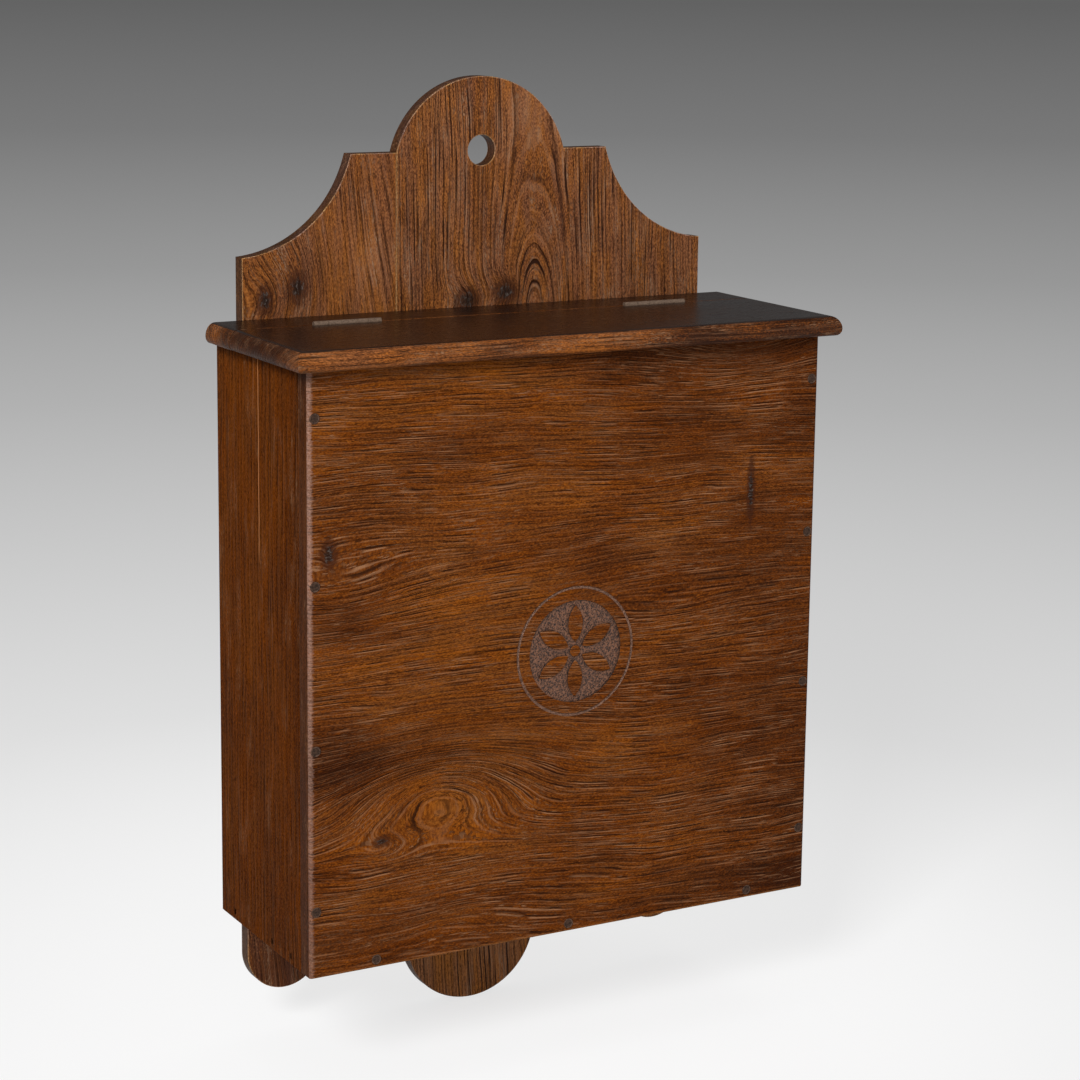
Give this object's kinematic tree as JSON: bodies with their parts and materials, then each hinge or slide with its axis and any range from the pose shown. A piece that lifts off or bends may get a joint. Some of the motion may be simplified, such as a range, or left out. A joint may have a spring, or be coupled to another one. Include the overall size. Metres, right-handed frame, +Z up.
{
  "type": "wall document box",
  "caption": "Wooden wall box for papers with a hinged moulded lid, a shaped backboard with a hanging hole, and a carved roundel on the front.",
  "frame": {"origin": "centre of the hanging hole on the wall plane, at the backboard's back face", "axes": "+Z up, +X to the right of someone who faces the box, -Y out of the wall towards them"},
  "size_m": [0.3695, 0.1465, 0.6045],
  "materials": {
    "oak_front": "brushed, waxed oak, satin",
    "oak_side": "waxed oak, satin",
    "oak_back": "brushed, waxed oak, satin",
    "oak_cover": "dark stained oak, satin",
    "nail_iron": "aged dark iron",
    "screw_steel": "dulled steel",
    "hinge_brass": "aged brass, satin"
  },
  "bodies": {
    "case": {"backboard_left_board": "oak_back", "backboard_right_board": "oak_back", "left_side": "oak_side", "right_side": "oak_side", "bottom_board": "oak_side", "front_panel": "oak_front", "hinge_rail": "oak_cover", "front_left_nails": "nail_iron", "front_right_nails": "nail_iron", "front_bottom_nails": "nail_iron", "left_side_brads": "nail_iron", "right_side_brads": "nail_iron", "bottom_back_brads": "nail_iron", "hinge_rail_back_brads": "nail_iron", "left_hinge_rail_leaf": "hinge_brass", "left_hinge_pin": "hinge_brass", "left_hinge_rail_screws": "screw_steel", "right_hinge_rail_leaf": "hinge_brass", "right_hinge_pin": "hinge_brass", "right_hinge_rail_screws": "screw_steel"},
    "lid": {"lid": "oak_cover", "left_hinge_lid_leaf": "hinge_brass", "left_hinge_lid_screws": "screw_steel", "right_hinge_lid_leaf": "hinge_brass", "right_hinge_lid_screws": "screw_steel"}
  },
  "joints": [
    {"name": "lid_hinge", "type": "hinge", "parent": "case", "child": "lid", "pos_m": [-0.00175, -0.0469, -0.0978], "axis": [-1, 0, 0], "range_deg": [0, 112]}
  ]
}
